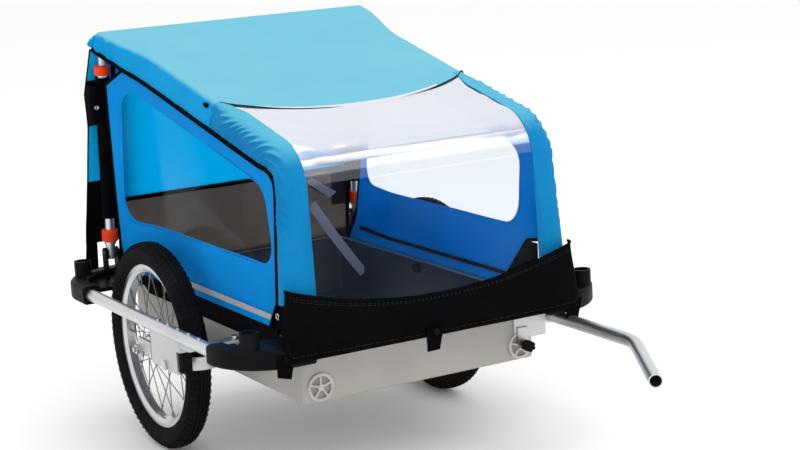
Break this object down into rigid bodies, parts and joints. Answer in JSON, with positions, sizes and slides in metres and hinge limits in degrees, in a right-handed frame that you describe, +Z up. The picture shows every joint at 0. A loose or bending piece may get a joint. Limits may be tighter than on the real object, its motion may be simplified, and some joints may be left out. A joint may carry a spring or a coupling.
{
  "type": "dog bike trailer",
  "caption": "Two-wheeled pet trailer towed by a bicycle: sheet tub on a tubular ring with swing forks, a hooped canopy with clear windows and an offset bent drawbar.",
  "frame": {"origin": "on the ground, in the middle of the bounding box", "axes": "+Z up, forward along -Y, the trailer's right side at -X"},
  "size_m": [0.778, 1.2818, 0.7885],
  "materials": {
    "tub_sheet": "mill finish sheet",
    "frame_tube": "satin tube",
    "plate_alloy": "satin plate",
    "wheel_alloy": "polished",
    "bright_steel": "bright plated",
    "tyre_rubber": "treaded",
    "block_rubber": "moulded",
    "black_plastic": "moulded",
    "grille_plastic": "moulded",
    "orange_plastic": "moulded",
    "roof_cloth": "woven canvas",
    "side_cloth": "woven canvas",
    "black_cloth": "woven",
    "clear_film": "flexible clear film"
  },
  "bodies": {
    "chassis": {"tub": "tub_sheet", "vent_grilles": "grille_plastic", "front_cross_tube": "frame_tube", "rear_cross_tube": "frame_tube", "chassis_bolts": "bright_steel", "frame_pins": "bright_steel", "drawbar_bracket": "plate_alloy", "rear_panel": "black_cloth", "left_rail": "frame_tube", "right_rail": "frame_tube", "left_front_bumper": "black_plastic", "right_front_bumper": "black_plastic", "left_rear_bumper": "black_plastic", "right_rear_bumper": "black_plastic", "left_strut": "plate_alloy", "right_strut": "plate_alloy", "left_hanger_plate": "plate_alloy", "right_hanger_plate": "plate_alloy", "left_rubber_block": "block_rubber", "right_rubber_block": "block_rubber", "left_tub_block": "black_plastic", "right_tub_block": "black_plastic", "left_fork_pins": "bright_steel", "right_fork_pins": "bright_steel", "left_side_panel": "side_cloth", "right_side_panel": "side_cloth", "left_window": "clear_film", "right_window": "clear_film"},
    "canopy": {"canopy_hoop": "frame_tube", "front_crossbar": "frame_tube", "corner_plates": "plate_alloy", "roof": "roof_cloth", "upper_film": "clear_film", "hoop_sleeves": "roof_cloth"},
    "front_flap": {"front_film": "clear_film", "apron": "black_cloth"},
    "towbar": {"drawbar": "frame_tube"},
    "knob": {"clamp_knob": "black_plastic"},
    "left_swing": {"left_fork": "plate_alloy", "left_axle": "bright_steel"},
    "left_wheel": {"left_tyre": "tyre_rubber", "left_rim": "wheel_alloy", "left_hub": "wheel_alloy", "left_spokes": "bright_steel"},
    "left_leg": {"left_post": "frame_tube", "left_rod": "frame_tube", "left_post_cover": "black_cloth"},
    "left_lock": {"left_lower_collar": "orange_plastic"},
    "left_clamp": {"left_upper_collar": "orange_plastic"},
    "right_swing": {"right_fork": "plate_alloy", "right_axle": "bright_steel"},
    "right_wheel": {"right_tyre": "tyre_rubber", "right_rim": "wheel_alloy", "right_hub": "wheel_alloy", "right_spokes": "bright_steel"},
    "right_leg": {"right_post": "frame_tube", "right_rod": "frame_tube", "right_post_cover": "black_cloth"},
    "right_lock": {"right_lower_collar": "orange_plastic"},
    "right_clamp": {"right_upper_collar": "orange_plastic"}
  },
  "joints": [
    {"name": "canopy_fold", "type": "hinge", "parent": "chassis", "child": "canopy", "pos_m": [0, -0.19906, 0.318], "axis": [-1, 0, 0], "range_deg": [0, 21], "deforming": ["left_side_panel", "right_side_panel", "left_window", "right_window", "rear_panel"]},
    {"name": "flap_lift", "type": "hinge", "parent": "canopy", "child": "front_flap", "pos_m": [0, -0.20172, 0.56], "axis": [-1, 0, 0], "range_deg": [0, 100]},
    {"name": "drawbar_pull", "type": "slide", "parent": "chassis", "child": "towbar", "axis": [0, -1, 0], "range_m": [0, 0.12]},
    {"name": "knob_turn", "type": "hinge", "parent": "chassis", "child": "knob", "pos_m": [0.212, -0.16906, 0.203], "axis": [0, -1, 0], "range_deg": [0, 270]},
    {"name": "left_swing_travel", "type": "hinge", "parent": "chassis", "child": "left_swing", "pos_m": [0.306, 0.12394, 0.212], "axis": [1, 0, 0], "range_deg": [0, 6], "stiffness_Nm_per_rad": 300, "springref_deg": -5.73},
    {"name": "left_wheel_spin", "type": "hinge", "parent": "left_swing", "child": "left_wheel", "pos_m": [0.306, 0.30894, 0.2], "axis": [1, 0, 0], "continuous": true},
    {"name": "left_post_fold", "type": "hinge", "parent": "chassis", "child": "left_leg", "pos_m": [0.283, 0.58394, 0.335], "axis": [-1, 0, 0], "range_deg": [0, 84]},
    {"name": "left_lock_slide", "type": "slide", "parent": "left_leg", "child": "left_lock", "axis": [0, -0.0965, 0.9953], "range_m": [0, 0.02]},
    {"name": "left_clamp_turn", "type": "hinge", "parent": "left_leg", "child": "left_clamp", "pos_m": [0.283, 0.54194, 0.768], "axis": [0, -0.0965, 0.9953], "range_deg": [-45, 45]},
    {"name": "right_swing_travel", "type": "hinge", "parent": "chassis", "child": "right_swing", "pos_m": [-0.306, 0.12394, 0.212], "axis": [1, 0, 0], "range_deg": [0, 6], "stiffness_Nm_per_rad": 300, "springref_deg": -5.73},
    {"name": "right_wheel_spin", "type": "hinge", "parent": "right_swing", "child": "right_wheel", "pos_m": [-0.306, 0.30894, 0.2], "axis": [1, 0, 0], "continuous": true},
    {"name": "right_post_fold", "type": "hinge", "parent": "chassis", "child": "right_leg", "pos_m": [-0.283, 0.58394, 0.335], "axis": [-1, 0, 0], "range_deg": [0, 84]},
    {"name": "right_lock_slide", "type": "slide", "parent": "right_leg", "child": "right_lock", "axis": [0, -0.0965, 0.9953], "range_m": [0, 0.02]},
    {"name": "right_clamp_turn", "type": "hinge", "parent": "right_leg", "child": "right_clamp", "pos_m": [-0.283, 0.54194, 0.768], "axis": [0, -0.0965, 0.9953], "range_deg": [-45, 45]}
  ],
  "couplings": [
    {"joint": "left_post_fold", "follows": "canopy_fold", "ratio": 4},
    {"joint": "right_post_fold", "follows": "canopy_fold", "ratio": 4}
  ]
}
